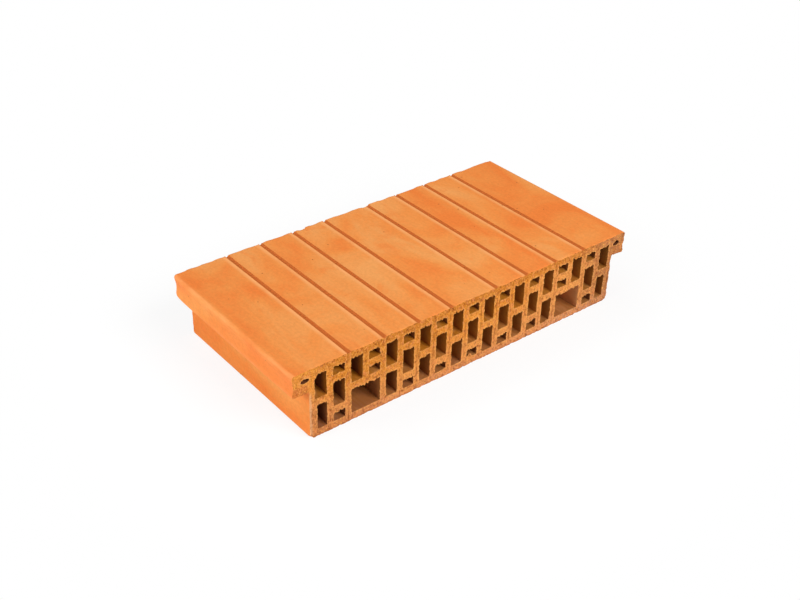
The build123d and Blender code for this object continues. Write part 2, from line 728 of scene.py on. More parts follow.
                # The roof and per-cell marks place the painted shade inside the cells
                roof, brown = self.roof(loop, cell), self.brown(loop, cell)
                self.note(count, rim=rim, pit=hollow * near, roof=roof, brown=brown)
            self.vertices.append(place)
        inside = Surface.SKIN if cell is None else Surface.BORE
        for r in range(len(stations) - 1):
            first = start + r * count
            outermost = r in (0, len(stations) - 2)
            for i in range(count):
                j = (i + 1) % count
                quad = (first + i, first + j, first + count + j, first + count + i)
                self.faces.append(quad[::-1] if cell is None else quad)
                self.kinds.append((Surface.CUT if outermost else inside).value)
        last = start + (len(stations) - 1) * count
        return np.arange(start, start + count), np.arange(last, last + count)

    @staticmethod
    def roof(loop: Points, cell: Cell) -> Points:
        """Marks how near a cell's points are to its roof, for the painted shade under it; a low cell gets
        that painted shade all over.
        """
        near = np.exp(-(loop[:, 1].max() - loop[:, 1]) / 4.5)
        return np.maximum(near, 0.85) if cell.kind in (CellKind.SMALL, CellKind.NIB) else near

    @staticmethod
    def brown(loop: Points, cell: Cell) -> Points:
        """Marks how much painted shade a cell gets inside: least in the wide ones, most in the nib holes.

        Args:
            loop: The cell's edge.
            cell: The cell.

        Returns:
            Values from 0 to 2.
        """
        if cell.kind is CellKind.WIDE:
            return np.full(len(loop), 0.1 if cell.x > 0 else 0.8)
        return np.full(len(loop), 2.0 if cell.kind is CellKind.NIB else 1.0)

    def scatter(self, end: End, loops: Sequence[Points]) -> tuple[Points, Points, Points]:
        """Spreads points over the clay of a cut end, none close to an edge.

        Args:
            end: Which end.
            loops: Every closed edge there, outline first.

        Returns:
            The points, their distances to the nearest edge, and whether that is a cell's.
        """
        section, step = self.section, self.face_step
        rng = np.random.default_rng(100 + end.value)
        xs = np.arange(-section.nib_half + 1, section.nib_half - 0.5, step)
        zs = np.arange(0.9, section.height - 0.4, step)
        grid = np.stack(np.meshgrid(xs, zs), axis=-1).reshape(-1, 2)
        grid = grid + rng.uniform(-self.jitter, self.jitter, grid.shape) * step
        grid = self.ends[end].drag(grid, 0.0)
        grid = grid[self.in_clay(grid, loops)]
        rim = np.concatenate(loops)
        tree = KDTree(len(rim))
        for i, spot in enumerate(rim):
            tree.insert((spot[0], spot[1], 0), i)
        tree.balance()
        nearest = [tree.find((spot[0], spot[1], 0)) for spot in grid]
        gaps = np.array([hit[2] for hit in nearest])
        at_cell = np.array([hit[1] for hit in nearest]) >= len(loops[0])
        keep = gaps > self.edge_gap
        return grid[keep], gaps[keep], at_cell[keep]

    def add_end(self, end: End, rings: Sequence[Points]) -> None:
        """Closes one cut end between the outline's ring and the cells' rings.

        Args:
            end: Which end.
            rings: Numbers of the rings' points, outline first.
        """
        placed = np.concatenate(self.vertices)
        loops = [placed[ring][:, [0, 2]] for ring in rings]
        grid, gaps, at_cell = self.scatter(end, loops)
        edges, base = [], 0
        for loop in loops:
            count = len(loop)
            edges += [(base + i, base + (i + 1) % count) for i in range(count)]
            base += count
        spots = np.concatenate([*loops, grid])
        got = delaunay_2d_cdt([Vector(s) for s in spots], edges, [], 0, 1e-5)
        where = [origin[0] if origin else -1 for origin in got[3]]
        if min(where) < 0:
            log.warning("%s end: cell edges cross in %d places", end.name, where.count(-1))
        corners = np.array([[where[v] for v in tri] for tri in got[2] if len(tri) == 3])
        corners = corners[(corners >= 0).all(axis=1)]
        corners = corners[self.in_clay(spots[corners].mean(axis=1), loops)]
        torn, hollow = self.ends[end].relief(grid, np.where(at_cell, gaps, self.far_from_rim))
        edge_fall = 0.25 * np.exp(-((gaps / 0.9) ** 2)) * ~at_cell
        y = end.value * (self.section.length / 2 - torn - edge_fall)
        self.vertices.append(np.stack([grid[:, 0], y, grid[:, 1]], axis=1))
        # The pit mark places painted shade in the end's torn hollows
        self.note(len(grid), rim=np.where(at_cell, np.exp(-gaps / 0.8), 0.0), pit=hollow)
        numbers = np.concatenate([*rings, len(placed) + np.arange(len(grid))])
        for tri in numbers[corners].tolist():
            self.faces.append(tuple(tri if end is End.FRONT else tri[::-1]))
            self.kinds.append(Surface.CUT.value)

    def bite(self, places: Points) -> Points:
        """Pushes points out of every chip's ball, into the clay.

        Args:
            places: Points of the skin, N by 3.

        Returns:
            The moved points.
        """
        moved = places.copy()
        for k, chip in enumerate(self.chips):
            away = moved - (chip.x, chip.y, chip.z)
            gap = np.linalg.norm(away, axis=1)
            rough = self.noise.layered(away[:, 0] / 2.2 + 9 * k, away[:, 1] / 2.2, away[:, 2] / 2.2)
            radius = chip.radius * (1 + 0.22 * rough)
            hit = (gap < radius) & (gap > 1e-6)
            moved[hit] += away[hit] / gap[hit][:, None] * (radius[hit] - gap[hit])[:, None]
        return moved

    def mesh(self) -> bpy.types.Mesh:
        """Gathers walls and ends into one mesh in metres.

        Returns:
            The mesh, with its marks as point attributes.
        """
        section = self.section
        edges = [(section.outline(self.outline_step), None)]
        edges += [(cell.outline(self.corner, self.cell_step), cell) for cell in section.cells()]
        rings = [self.add_wall(np.array(edge.points), cell) for edge, cell in edges]
        for end, number in ((End.FRONT, 0), (End.BACK, 1)):
            self.add_end(end, [ring[number] for ring in rings])
        places = self.bite(np.concatenate(self.vertices))
        half = np.array([section.nib_half, section.length / 2])
        places[:, :2] = np.clip(places[:, :2], -half, half)
        places[:, 2] = np.clip(places[:, 2], 0, section.height)
        mesh = bpy.data.meshes.new(NODE + "_clay")
        mesh.from_pydata((places * MM).tolist(), [], self.faces)
        mesh.polygons.foreach_set("material_index", self.kinds)
        for name, values in self.marks.items():
            mark = mesh.attributes.new(name, "FLOAT", "POINT")
            mark.data.foreach_set("value", np.concatenate(values).astype(np.float32))
        mesh.polygons.foreach_set("use_smooth", [True] * len(mesh.polygons))
        mesh.set_sharp_from_angle(angle=math.radians(self.sharp_angle))
        mesh.validate()
        mesh.update()
        return mesh

    def build(self) -> bpy.types.Object:
        """Makes the block's object.

        Returns:
            The object, in the part's own frame.
        """
        block = bpy.data.objects.new("fired_block", self.mesh())
        bpy.context.scene.collection.objects.link(block)
        triangles = sum(len(p.vertices) - 2 for p in block.data.polygons)
        log.info("fired_block: %d points, %d triangles", len(block.data.vertices), triangles)
        return block


class Value:
    """A shader socket whose arithmetic adds Math nodes."""

    def __init__(self, graph: "Graph", socket: bpy.types.NodeSocket) -> None:
        """Keeps the socket and the graph it belongs to."""
        self.graph = graph
        self.socket = socket

    def __add__(self, other: "Value | float") -> "Value":
        """Adds."""
        return self.graph.math("ADD", self, other)

    def __radd__(self, other: float) -> "Value":
        """Adds, with the number first."""
        return self.graph.math("ADD", other, self)

    def __sub__(self, other: "Value | float") -> "Value":
        """Subtracts."""
        return self.graph.math("SUBTRACT", self, other)

    def __rsub__(self, other: float) -> "Value":
        """Subtracts from a number."""
        return self.graph.math("SUBTRACT", other, self)

    def __mul__(self, other: "Value | float") -> "Value":
        """Multiplies."""
        return self.graph.math("MULTIPLY", self, other)

    def __rmul__(self, other: float) -> "Value":
        """Multiplies, with the number first."""
        return self.graph.math("MULTIPLY", other, self)


Number = Value | float
Tint = Value | Colour


@dataclass
class Graph:
    """The node tree of a material or world, with one way to add any node."""

    owner: bpy.types.ID

    def __post_init__(self) -> None:
        """Empties the owner's tree."""
        self.owner.use_nodes = True
        self.tree = self.owner.node_tree
        self.tree.nodes.clear()

    def node(
        self,
        kind: str,
        settings: dict[str, object] | None = None,
        inputs: dict[str | int, object] | None = None,
        out: str | int = 0,
    ) -> Value:
        """Adds a node.

        Args:
            kind: Blender's name for the type of node, without the ShaderNode before it.
            settings: Its properties; "stops" holds a ramp's positions and colours.
            inputs: Values or links for its sockets, by name or number.
            out: Which output is wanted.

        Returns:
            That output, or the surface's own input for a node that has no outputs.
        """
        made = self.tree.nodes.new("ShaderNode" + kind)
        for key, value in (settings or {}).items():
            if key == "stops":
                ramp = made.color_ramp
                while len(ramp.elements) < len(value):
                    ramp.elements.new(0.5)
                for element, (place, colour) in zip(ramp.elements, value):
                    element.position = place
                    element.color = (*colour, 1.0)
            else:
                setattr(made, key, value)
        for key, value in (inputs or {}).items():
            if isinstance(value, Value):
                self.tree.links.new(value.socket, made.inputs[key])
            elif isinstance(value, tuple) and made.inputs[key].type == "RGBA":
                made.inputs[key].default_value = (*value, 1.0)
            else:
                made.inputs[key].default_value = value
        return Value(self, made.outputs[out] if made.outputs else made.inputs["Surface"])

    def math(self, operation: str, *values: Number) -> Value:
        """Adds a Math node on one, two or three values."""
        return self.node("Math", {"operation": operation}, dict(enumerate(values)))

    def mix(self, amount: Number, a: Tint, b: Tint, blend: str = "MIX") -> Value:
        """Mixes two colours, by how much there is of the second."""
        settings = {"data_type": "RGBA", "blend_type": blend, "clamp_factor": True}
        return self.node("Mix", settings, {0: amount, 6: a, 7: b}, 2)

    def layers(self, colour: Tint, *coats: tuple[Value, Tint]) -> Value:
        """Lays coats over a colour in turn.

        Args:
            colour: What lies under them.
            coats: How much there is of each coat and its colour, from the lowest up.

        Returns:
            The colour with every coat on it.
        """
        for amount, coat in coats:
            colour = self.mix(amount, colour, coat)
        return colour

    def shade(self, colour: Value, factor: Value) -> Value:
        """Multiplies a colour by one number."""
        grey = self.node("CombineColor", None, {0: factor, 1: factor, 2: factor})
        return self.mix(1.0, colour, grey, "MULTIPLY")

    def step(self, value: Value, low: float, high: float, start: float = 0.0, end: float = 1.0) -> Value:
        """Eases a value from one number to another.

        Args:
            value: What is read.
            low: Where the change starts.
            high: Where it ends.
            start: What is given up to low.
            end: What is given from high on.

        Returns:
            The eased value.
        """
        settings = {"interpolation_type": "SMOOTHSTEP", "clamp": True}
        inputs = {"Value": value, "From Min": low, "From Max": high, "To Min": start, "To Max": end}
        return self.node("MapRange", settings, inputs)

    def place(self, stretch: Place = (1, 1, 1), shift: float = 0.0) -> Value:
        """Gives the object's own coordinates, stretched and shifted.

        Args:
            stretch: Factors along X, Y and Z.
            shift: Metres added to each, to tell patterns apart.

        Returns:
            The coordinates.
        """
        own = self.node("TexCoord", out="Object")
        scaled = self.node("VectorMath", {"operation": "MULTIPLY"}, {0: own, 1: stretch})
        return self.node("VectorMath", {"operation": "ADD"}, {0: scaled, 1: (shift, shift, shift)})

    def noise(
        self, place: Value, scale: float, detail: float = 2.0, rough: float = 0.5, warp: float = 0.0
    ) -> Value:
        """Adds a noise texture and gives its value."""
        inputs = {"Vector": place, "Scale": scale, "Detail": detail, "Roughness": rough, "Distortion": warp}
        return self.node("TexNoise", None, inputs)

    def spots(self, place: Value, scale: float, size: float, share: float) -> Value:
        """Scatters soft round spots.

        Args:
            place: Coordinates.
            scale: Cells per metre.
            size: Spot radius as a share of a cell.
            share: How many cells have a spot, from 0 to 1.

        Returns:
            1 in the middle of a spot and 0 off it.
        """
        inputs = {"Vector": place, "Scale": scale, "Randomness": 1.0}
        gap = self.node("TexVoronoi", None, inputs, "Distance")
        tint = self.node("TexVoronoi", None, inputs, "Color")
        pick = self.node("SeparateColor", None, {0: tint}, 0)
        chosen = self.step(pick, 1 - share - 0.01, 1 - share + 0.01)
        return self.step(gap, size * 0.35, size, 1.0, 0.0) * chosen

    def mark(self, name: str) -> Value:
        """Reads one of the mesh's point marks."""
        return self.node("Attribute", {"attribute_type": "GEOMETRY", "attribute_name": name}, None, "Fac")

    def axis(self, place: Value, index: int) -> Value:
        """Gives one coordinate of a place."""
        return self.node("SeparateXYZ", None, {0: place}, index)

    def finish(self, colour: Value, rough: Number, height: Value) -> bpy.types.ID:
        """Joins colour, roughness and bump into the surface.

        Args:
            colour: Base colour.
            rough: Roughness.
            height: Height in millimetres, for the bump.

        Returns:
            The material.
        """
        bump = self.node("Bump", None, {"Strength": 1.0, "Distance": MM, "Height": height})
        inputs = {"Base Color": colour, "Roughness": rough, "Normal": bump}
        inputs["Specular IOR Level"] = CLAY_SPECULAR
        return self.output(self.node("BsdfPrincipled", None, inputs))

    def output(self, surface: Value, kind: str = "Material") -> bpy.types.ID:
        """Links the surface to the tree's output and gives the owner."""
        self.node("Output" + kind, None, {"Surface": surface})
        return self.owner


def tone(red: float, green: float, blue: float) -> Colour:
    """Turns a screen colour into the linear one that shaders use.

    Args:
        red: Red, from 0 to 255.
        green: Green.
        blue: Blue.

    Returns:
        The three channels, from 0 to 1.
    """

    def linear(v: float) -> float:
        """One channel."""
        v /= 255
        return v / 12.92 if v <= 0.04045 else ((v + 0.055) / 1.055) ** 2.4

    return (linear(red), linear(green), linear(blue))


@dataclass(frozen=True)
class DrawnSkin:
    """The smooth face that the die leaves: orange, softly marbled, with faint lengthwise streaks.

    In all the finishes, places are metres in the block's own frame.
    """

    deep: Colour = tone(236, 128, 54)
    mid: Colour = tone(237, 144, 68)
    pale: Colour = tone(237, 158, 86)
    # Painted shade in the keying grooves: a darker, redder skin colour where shade falls in them
    groove: Colour = tone(196, 102, 37)
    # Paler colour for the strip left of each groove on the top
    rubbed: Colour = tone(243, 167, 102)
    # Painted shadow colour: multiplies the skin on the body's sides under the nibs, where the nibs cast
    # shade
    shade: Colour = (0.93, 0.87, 0.74)
    # Paler colour along the rounded arrises: partly wear, partly a painted highlight
    worn: Colour = tone(244, 165, 100)
    # Painted shade in the skin's pits and pinholes
    pit: Colour = tone(150, 80, 34)
    first_groove: float = Section().grooves()[0] * MM
    groove_pitch: float = 2 * Section.pitch * MM

    def marbling(self, g: Graph, x: Value, cloud: Value, warm: Value) -> Value:
        """Colours the skin in soft clouds, paler in the middle of the block than at its sides.

        Args:
            g: The finish's graph.
            x: Place across the block.
            cloud: Broad noise.
            warm: Finer noise, for the deeper blotches.

        Returns:
            The colour.
        """
        middle = g.step(g.math("ABSOLUTE", x + 0.02), 0.03, 0.13, 0.07, 0.0)
        ends = g.step(x, 0.15, 0.25, 0.0, -0.03) + g.step(x, -0.255, -0.225, -0.06, 0.0)
        stops = {"stops": [(0.34, self.deep), (0.5, self.mid), (0.66, self.pale)]}
        colour = g.node("ValToRGB", stops, {0: cloud + middle + ends})
        return g.mix(g.step(warm, 0.52, 0.74, 0.0, 0.5), colour, self.deep)

    def lip(self, g: Graph, x: Value) -> Value:
        """Finds the paler strip on the left of each keying groove.

        Args:
            g: The finish's graph.
            x: Place across the block.

        Returns:
            Values from 0 to 1.
        """
        span = g.math("ABSOLUTE", x)
        half_pitch = self.groove_pitch / 2
        outward = g.math("WRAP", span - self.first_groove, half_pitch, -half_pitch)
        beyond = outward * g.math("SIGN", x)
        lip = g.step(beyond, -0.0095, -0.0034) * g.step(beyond, -0.003, -0.0022, 1.0, 0.0)
        return lip * g.step(span, 0.199, 0.2, 1.0, 0.0)

    def material(self) -> bpy.types.ID:
        """Builds the finish.

        Returns:
            The material.
        """
        g = Graph(bpy.data.materials.new("drawn_clay_skin"))
        place = g.place()
        x, z = g.axis(place, 0), g.axis(place, 2)
        cloud = g.noise(g.place((1, 0.5, 1)), 13.0, 4.0, 0.55, 0.8)
        warm = g.noise(g.place((1, 0.7, 1), 3.0), 42.0, 3.0, 0.6, 0.6)
        streak = g.noise(g.place((1, 0.03, 1)), 260.0, 2.0, 0.6)
        grain = g.noise(place, 1100.0, 3.0, 0.6)
        mottle = g.noise(g.place((1, 0.8, 1), 11.0), 300.0, 2.0, 0.5)
        colour = self.marbling(g, x, cloud, warm)
        uneven = g.step(streak, 0.3, 0.7, 0.985, 1.015) * g.step(grain, 0.3, 0.7, 0.955, 1.04)
        colour = g.shade(colour, uneven * g.step(mottle, 0.3, 0.7, 0.955, 1.035))
        on_top = g.step(z, 0.091, 0.0925)
        # Painted shade: the top is made up to 4.5% darker towards the left, against the brighter light there
        colour = g.shade(colour, 1 - on_top * g.step(x, -0.25, 0.12, 0.045, 0.0))
        # Painted shadow: the sides under the nibs are darkened with the shadow colour
        nib_shadow_mask = g.step(z, 0.058, 0.0655, 1.0, 0.0)
        colour = g.mix(nib_shadow_mask, colour, g.mix(1.0, colour, self.shade, "MULTIPLY"))
        rubbed = g.noise(g.place((1, 0.3, 1), 7.0), 90.0, 3.0, 0.6)
        pits = g.spots(g.place(shift=1.0), 80.0, 0.085, 0.3)
        pinholes = g.spots(g.place(shift=2.0), 260.0, 0.13, 0.25)
        colour = g.layers(
            colour,
            (self.lip(g, x) * on_top * g.step(warm, 0.3, 0.6, 0.55, 1.0), self.rubbed),
            # Painted shade in the keying grooves
            (g.mark("groove") * 0.95, self.groove),
            # Painted highlight and wear along the rounded arrises
            (g.mark("arris") * g.step(rubbed, 0.35, 0.65, 0.25, 0.9), self.worn),
            # Painted shade in the pits and pinholes, which the bump also sinks
            (pits * 0.9, self.pit),
            (pinholes * 0.45, self.pit),
        )
        height = 0.03 * streak + 0.07 * grain + 0.12 * mottle - 0.45 * pits - 0.12 * pinholes
        return g.finish(colour, g.step(cloud, 0.3, 0.7, 0.74, 0.86), height)


@dataclass(frozen=True)
class ClayBody:
    """Colours of the clay under the skin, golden high in the block and pinker near its base."""

    golden: Colour = tone(221, 130, 32)
    bright: Colour = tone(240, 153, 56)
    pink: Colour = tone(239, 156, 86)
    rosy: Colour = tone(220, 142, 98)
    dusky: Colour = tone(196, 118, 70)
    ochre: Colour = tone(198, 114, 20)
    sandy: Colour = tone(236, 156, 92)
    foot: Colour = tone(212, 146, 112)
    dull: Colour = tone(176, 110, 68)
    plate: Colour = tone(198, 112, 22)

    def blend(self, g: Graph, patches: Value) -> Value:
        """Mixes the clay's colour by place.

        Args:
            g: The finish's graph.
            patches: Broad noise that breaks up the changes.

        Returns:
            The colour.
        """
        place = g.place()
        x, z = g.axis(place, 0), g.axis(place, 2)
        drift = (patches - 0.5) * 0.03
        across, up = x + drift, z + drift
        left = g.step(across, -0.09, -0.03, 0.5, 0.0) * g.step(across, -0.21, -0.185)
        sandy = g.step(across, 0.05, 0.13, 0.0, 0.5) * g.step(z, 0.078, 0.084, 1.0, 0.1)
        foot = g.step(across, 0.09, 0.15) * g.step(up, 0.008, 0.024, 0.7, 0.0)
        return g.layers(
            self.golden,
            (g.step(patches, 0.42, 0.64), self.bright),
            (g.step(up, 0.08, 0.086, 0.0, 0.8), self.plate),
            (g.step(up, 0.012, 0.062, 0.85, 0.0), self.pink),
            (g.step(up, 0.004, 0.014, 0.7, 0.0), self.rosy),
            (left * g.step(up, 0.042, 0.056), self.ochre),
            (sandy, self.sandy),
            (g.step(across, -0.222, -0.208, 0.55, 0.0), self.bright),
            (g.step(x + 1.4 * z + drift, -0.2, -0.11, 0.85, 0.0), self.dusky),
            (g.step(across, 0.155, 0.224, 0.0, 0.95), self.dull),
            (foot, self.foot),
        )


@dataclass(frozen=True)
class CutClay:
    """The torn face that the wire leaves: granular, with crumbs, pits and seams in the webs."""

    clay: ClayBody = ClayBody()
    crumb: Colour = tone(250, 177, 82)
    hollow: Colour = tone(140, 70, 16)
    burr: Colour = tone(250, 184, 104)
    blush: Colour = tone(228, 136, 74)
    dust: Colour = tone(228, 170, 120)
    torn: Colour = tone(206, 112, 46)
    pitch: float = Section.pitch * MM

    def seam(self, g: Graph, x: Value) -> Value:
        """Finds the broken seam down the middle of each upright web.

        Args:
            g: The finish's graph.
            x: Place across the block.

        Returns:
            Values from 0 to 1.
        """
        wander = g.noise(g.place((0.2, 1, 1), 6.0), 70.0, 2.0)
        gap = self.pitch / 2 - g.math("PINGPONG", x + (wander - 0.5) * 0.003, self.pitch / 2)
        broken = g.step(g.noise(g.place((1, 1, 0.5), 8.0), 150.0, 2.0), 0.5, 0.6)
        return g.step(gap, 0.0002, 0.0008, 1.0, 0.0) * broken

    def material(self) -> bpy.types.ID:
        """Builds the finish.

        Returns:
            The material.
        """
        g = Graph(bpy.data.materials.new("cut_clay"))
        place = g.place()
        x, z = g.axis(place, 0), g.axis(place, 2)
        patches = g.noise(g.place((1, 1, 0.6)), 26.0, 3.0, 0.6)
        fibres = g.noise(g.place((1, 1, 0.7), 4.0), 400.0, 4.0, 0.75, 0.1)
        crumbs = g.noise(g.place((1, 1, 0.8), 5.0), 900.0, 3.0, 0.65)
        specks = g.noise(g.place((1, 1, 0.6), 12.0), 430.0, 3.0, 0.6)
        cloud = g.noise(g.place((1, 1, 0.7), 15.0), 110.0, 2.0, 0.5)
        flush = g.noise(g.place((1, 1, 0.8), 21.0), 210.0, 2.0, 0.6)
        pits = g.spots(g.place(shift=9.0), 330.0, 0.2, 0.35)
        seam = self.seam(g, x) * g.step(cloud, 0.46, 0.56)
        lower_nib = g.step(x, -0.234, -0.229, 1.0, 0.0) * g.step(z, 0.0735, 0.079, 0.9, 0.0)
        left_wall = g.step(x, -0.2295, -0.2262, 0.85, 0.0) * g.step(z, 0.052, 0.066, 1.0, 0.0)
        # Painted contact shadow: a darker line along the foot of the cut face
        ground = g.step(z, 0.0005, 0.0025, 0.55, 0.0) * g.step(flush, 0.42, 0.55, 0.2, 1.0)
        colour = g.layers(
            self.clay.blend(g, patches),
            (lower_nib, self.torn),
            (g.step(flush, 0.5, 0.64, 0.0, 0.7), self.blush),
            (g.step(cloud, 0.36, 0.5, 0.22, 0.0), self.hollow),
            (g.step(fibres, 0.5, 0.68, 0.0, 0.55), self.crumb),
            (g.step(fibres, 0.36, 0.48, 0.22, 0.0), self.hollow),
            (g.step(crumbs, 0.34, 0.48, 0.5, 0.0), self.hollow),
            (g.step(crumbs, 0.52, 0.68, 0.0, 0.6), self.crumb),
            (g.step(specks, 0.33, 0.42, 1.0, 0.0) * g.step(cloud, 0.4, 0.6, 0.8, 0.2), self.hollow),
            (g.step(specks, 0.58, 0.7, 0.0, 0.5), self.crumb),
            (left_wall * g.step(specks, 0.36, 0.52, 0.25, 0.85), self.dust),
            (seam * 0.5, self.hollow),
            # Painted shade in the torn face's hollows, from the pit mark
            (g.mark("pit") * 0.75, self.hollow),
            (g.mark("rim") * g.step(fibres, 0.42, 0.6, 0.05, 0.6), self.burr),
            # Painted contact shadow along the foot
            (ground, self.hollow),
            # Painted shade in the small pits
            (pits * 0.7, self.hollow),
        )
        return g.finish(colour, 0.88, 0.8 * fibres + 0.5 * crumbs - 0.5 * pits - 0.35 * seam)


@dataclass(frozen=True)
class CellBore:
    """The inside of a cell: drawn clay, browner than the cut face, with painted shade on its walls that
    deepens away from the mouth and under the roof, and painted light on the wide cells' walls.
    """

    clay: ClayBody = ClayBody(
        golden=tone(194, 118, 18),
        bright=tone(200, 124, 26),
        pink=tone(176, 112, 60),
        rosy=tone(170, 106, 66),
        dusky=tone(156, 94, 60),
        ochre=tone(190, 114, 16),
        sandy=tone(190, 122, 48),
        foot=tone(168, 108, 60),
        dull=tone(172, 108, 36),
        plate=tone(194, 118, 18),
    )
    streaked: Colour = tone(166, 96, 22)
    # Painted shade on the cell walls: the first colour deeper in, the second under the roofs and towards the
    # left-hand columns
    deep_wall_shade: Colour = tone(168, 106, 38)
    dim: Colour = tone(111, 61, 32)
    # Pale colour: painted light on the walls of the wide cells, and pale patches on the floors
    dust_and_painted_light: Colour = tone(222, 156, 100)
    half_length: float = Section.length / 2 * MM

    def material(self) -> bpy.types.ID:
        """Builds the finish.

        Returns:
            The material.
        """
        g = Graph(bpy.data.materials.new("cell_bore_clay"))
        place = g.place()
        x, y = g.axis(place, 0), g.axis(place, 1)
        patches = g.noise(g.place((1, 0.5, 1)), 30.0, 3.0, 0.6)
        streak = g.noise(g.place((1, 0.03, 1), 1.0), 300.0, 3.0, 0.6)
        bloom = g.noise(g.place((1, 0.6, 1), 5.0), 70.0, 3.0, 0.6, 0.5)
        grain = g.noise(place, 1100.0, 3.0, 0.6)
        brown = g.mark("brown")
        depth = self.half_length - g.math("ABSOLUTE", y)
        # Walls and roofs take the painted shade and floors stay lit; the nib holes are shaded all over
        upward = g.axis(g.node("TexCoord", out="Normal"), 2)
        wall = g.math("MAXIMUM", g.step(upward, 0.3, 0.7, 1.0, 0.0), g.step(brown, 1.2, 1.8, 0.0, 0.75))
        drift = x + (patches - 0.5) * 0.04
        # Painted shade is darker in the left-hand columns and a little darker at the right end
        sides = g.step(drift, -0.17, -0.02, 1.0, 0.0) + g.step(drift, 0.16, 0.21, 0.0, 0.4)
        colour = g.layers(
            self.clay.blend(g, patches),
            (g.step(streak, 0.4, 0.65, 0.0, 0.5), self.streaked),
            # Painted shade on the walls, growing from the mouth inwards
            (wall * g.step(depth, 0.002, 0.012, 0.15, 0.9) * brown, g.mix(sides, self.deep_wall_shade, self.dim)),
            # Painted shade under each roof
            (wall * g.mark("roof") * brown * 0.9, self.dim),
            # Painted light on the walls of the wide cells, most in the right one
            ((1 - brown) * wall, self.dust_and_painted_light),
            (g.step(bloom, 0.5, 0.68, 0.0, 0.3) * (1 - wall), self.dust_and_painted_light),
        )
        colour = g.shade(colour, g.step(grain, 0.25, 0.75, 0.92, 1.06))
        return g.finish(colour, 0.85, 0.16 * streak + 0.1 * grain)


@dataclass(frozen=True)
class SoftBox:
    """One rectangular studio lamp aimed at the block, placed by its direction.

    azimuth is in degrees from the block's front towards +X, level is the light it gives a surface
    that faces it, where 1 shows a colour as it is written.
    """

    name: str
    azimuth: float
    elevation: float
    level: float
    size: tuple[float, float] = (2.1, 1.7)
    distance: float = 3.4
    aim: Place = (0.0, 0.0, 0.05)

    def build(self) -> None:
        """Hangs the lamp."""
        turn, lift = math.radians(self.azimuth), math.radians(self.elevation)
        towards = Vector((math.sin(turn) * math.cos(lift), -math.cos(turn) * math.cos(lift), math.sin(lift)))
        data = bpy.data.lights.new(self.name, "AREA")
        data.shape = "RECTANGLE"
        data.size, data.size_y = self.size
        data.energy = self.level * math.pi**2 * self.distance**2
        lamp = bpy.data.objects.new(self.name, data)
        lamp.location = Vector(self.aim) + towards * self.distance
        lamp.rotation_mode = "QUATERNION"
        lamp.rotation_quaternion = (-towards).to_track_quat("-Z", "Y")
        bpy.context.scene.collection.objects.link(lamp)


@dataclass(frozen=True)
class Studio:
    """Pale floor, soft lamps and the camera at the photograph's angle."""

    eye: Place = (-0.76422, -0.92412, 0.80962)
    look_at: Place = (-0.05365, -0.00243, 0.0465)
    roll: float = 0.373
    lens: float = 51.8
    shift: float = 0.0347
    sensor: float = 36.0
    clip: tuple[float, float] = (0.02, 60.0)
    floor_half: float = 7.0
    floor_tone: float = 0.86
    sky: float = 0.18
    lamps: tuple[SoftBox, ...] = (
        SoftBox("lamp_over", 200.0, 48.0, 0.22),
        SoftBox("lamp_left", -98.0, 26.0, 0.63),
        SoftBox("lamp_front", 15.0, 39.0, 0.85),
    )

    def camera(self) -> None:
        """Sets up the camera."""
        data = bpy.data.cameras.new("camera")
        data.lens = self.lens
        data.sensor_width = self.sensor
        data.shift_x = self.shift
        data.clip_start, data.clip_end = self.clip
        camera = bpy.data.objects.new("camera", data)
        aim = (Vector(self.look_at) - Vector(self.eye)).to_track_quat("-Z", "Y").to_matrix().to_4x4()
        tilt = Matrix.Rotation(math.radians(self.roll), 4, "Z")
        camera.matrix_world = Matrix.Translation(Vector(self.eye)) @ aim @ tilt
        bpy.context.scene.collection.objects.link(camera)
        bpy.context.scene.camera = camera

    def floor(self) -> None:
        """Lays the pale floor that the camera sees as white with a soft shadow by the block."""
        h, pale = self.floor_half, (self.floor_tone,) * 3
        mesh = bpy.data.meshes.new("studio_floor")
        mesh.from_pydata([(-h, -h, 0), (h, -h, 0), (h, h, 0), (-h, h, 0)], [], [(0, 1, 2, 3)])
        floor = bpy.data.objects.new("studio_floor", mesh)
        bpy.context.scene.collection.objects.link(floor)
        g = Graph(bpy.data.materials.new("studio_floor_white"))
        lit = g.node("BsdfDiffuse", None, {"Color": pale})
        seen = g.node("BsdfDiffuse", None, {"Color": WHITE})
        glow = g.node("Emission", None, {"Color": WHITE, "Strength": 1.0})
        reach = g.node("VectorMath", {"operation": "LENGTH"}, {0: g.place()}, "Value")
        bright = g.node("MixShader", None, {0: g.step(reach, 0.27, 0.48, 0.84, 1.0), 1: seen, 2: glow})
        camera_ray = g.node("LightPath", out="Is Camera Ray")
        mesh.materials.append(g.output(g.node("MixShader", None, {0: camera_ray, 1: lit, 2: bright})))

    def world(self) -> None:
        """Sets the even sky, white to the camera."""
        g = Graph(bpy.data.worlds.new("studio_sky"))
        soft, seen = (g.node("Background", None, {"Color": WHITE, "Strength": s}) for s in (self.sky, 1.0))
        camera_ray = g.node("LightPath", out="Is Camera Ray")
        sky = g.node("MixShader", None, {0: camera_ray, 1: soft, 2: seen})
        bpy.context.scene.world = g.output(sky, "World")

    def build(self) -> None:
        """Sets up the whole studio."""
        bpy.context.scene.view_settings.view_transform = "Standard"
        self.camera()
        self.floor()
        self.world()
        for lamp in self.lamps:
            lamp.build()
        log.info("studio: camera, floor, sky and %d lamps", len(self.lamps))


